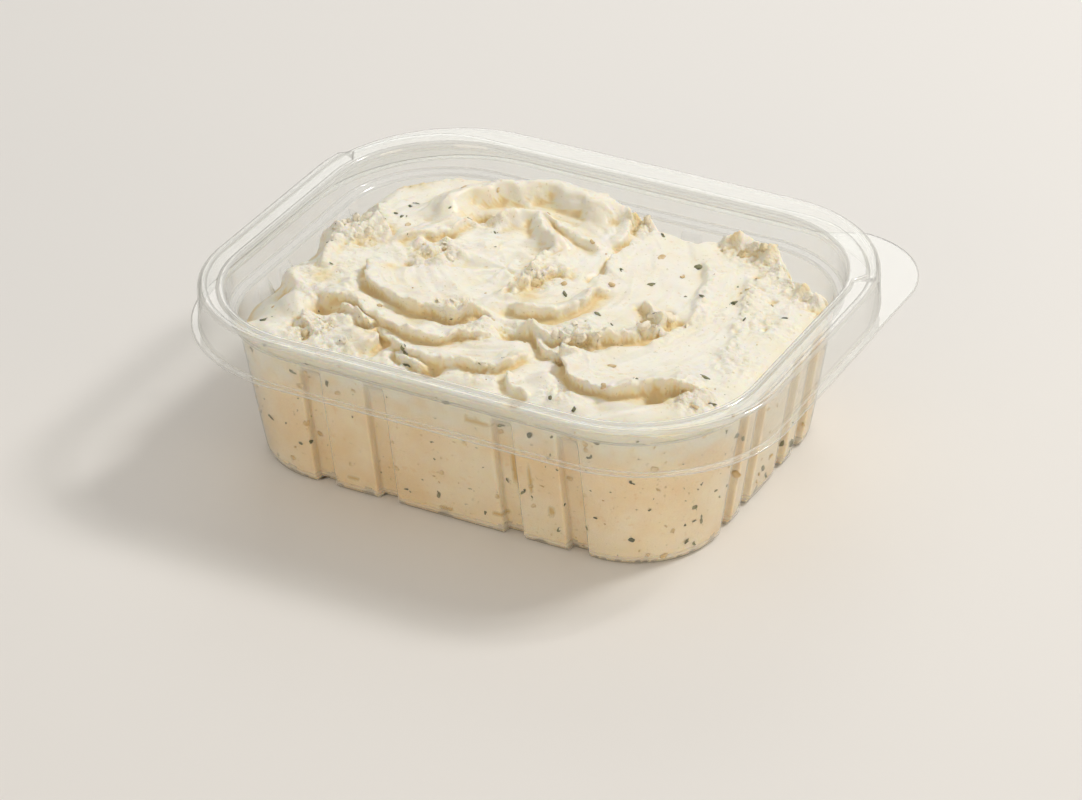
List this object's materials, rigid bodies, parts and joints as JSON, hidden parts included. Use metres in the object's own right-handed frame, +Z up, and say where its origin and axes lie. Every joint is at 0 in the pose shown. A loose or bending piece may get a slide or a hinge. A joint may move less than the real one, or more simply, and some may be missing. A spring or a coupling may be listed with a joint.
{
  "type": "tub of garlic and herb cream cheese",
  "caption": "Clear rectangular plastic tub with fluted walls, wide rim, drop skirt and corner tab, filled with swirled garlic and herb cream cheese.",
  "frame": {"origin": "middle of the tub's flat underside", "axes": "+X along the tub's long side towards the end with the corner tab, +Y across the tub towards the side with the wider rim, +Z up out of the tub's mouth"},
  "size_m": [0.1822, 0.1531, 0.0557],
  "materials": {
    "cream": "moist off-white cheese with dark green herb flakes and tan garlic bits",
    "clear_plastic": "clear glossy thermoformed sheet"
  },
  "bodies": {
    "root": {"cream_cheese": "cream", "tub": "clear_plastic"}
  },
  "joints": []
}
